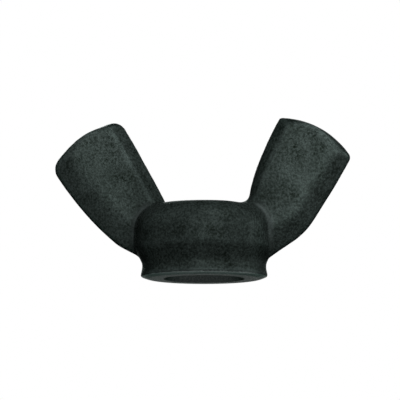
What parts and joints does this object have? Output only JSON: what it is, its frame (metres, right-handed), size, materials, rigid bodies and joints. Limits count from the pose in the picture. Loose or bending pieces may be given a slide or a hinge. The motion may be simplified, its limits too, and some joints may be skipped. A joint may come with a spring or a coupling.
{
  "type": "wing nut",
  "caption": "Cast wing nut with a round hub, a threaded through bore and two leaning wings to turn it by hand.",
  "frame": {"origin": "on the bore axis, in the plane of the seat that presses on the work", "axes": "+Z along the bore from the seat towards the wings; +X along the span of the wings, towards the wing that leans less"},
  "size_m": [0.0259, 0.012, 0.0139],
  "materials": {
    "blackened_iron": "satin black oxide over a fine cast skin"
  },
  "bodies": {
    "root": {"wing_nut": "blackened_iron"}
  },
  "joints": []
}
